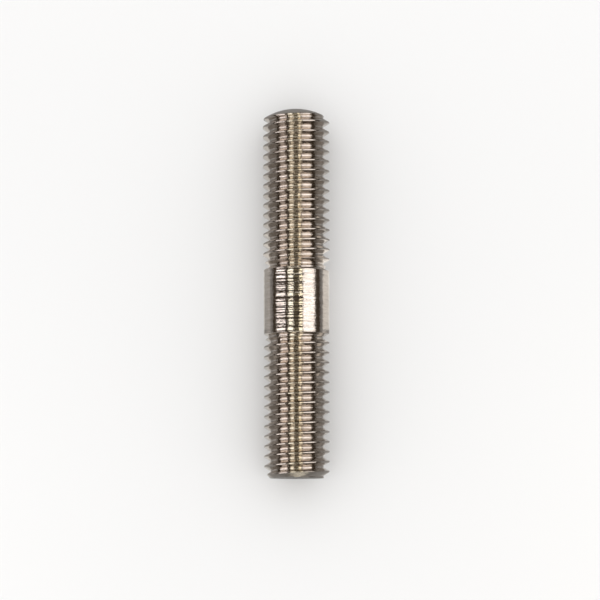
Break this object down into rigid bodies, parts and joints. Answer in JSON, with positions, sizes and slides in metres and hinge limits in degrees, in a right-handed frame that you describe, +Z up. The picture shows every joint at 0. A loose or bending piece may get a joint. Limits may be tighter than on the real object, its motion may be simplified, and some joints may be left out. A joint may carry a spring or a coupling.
{
  "type": "double-ended threaded stud",
  "caption": "Straight metal stud with a right-hand metric thread cut on each end, a plain turned shank between them, one rounded end and one flat, chamfered end.",
  "frame": {"origin": "on the stud's axis, halfway along the plain shank", "axes": "+Y along the axis towards the rounded end, +Z up out of the surface that the stud lies on, +X to the right"},
  "size_m": [0.012, 0.0656, 0.0118],
  "materials": {
    "bright_metal": "bright nickel-like plate over turned steel, slightly warm, with fine turning marks round the shank"
  },
  "bodies": {
    "root": {"double_end_stud": "bright_metal"}
  },
  "joints": []
}
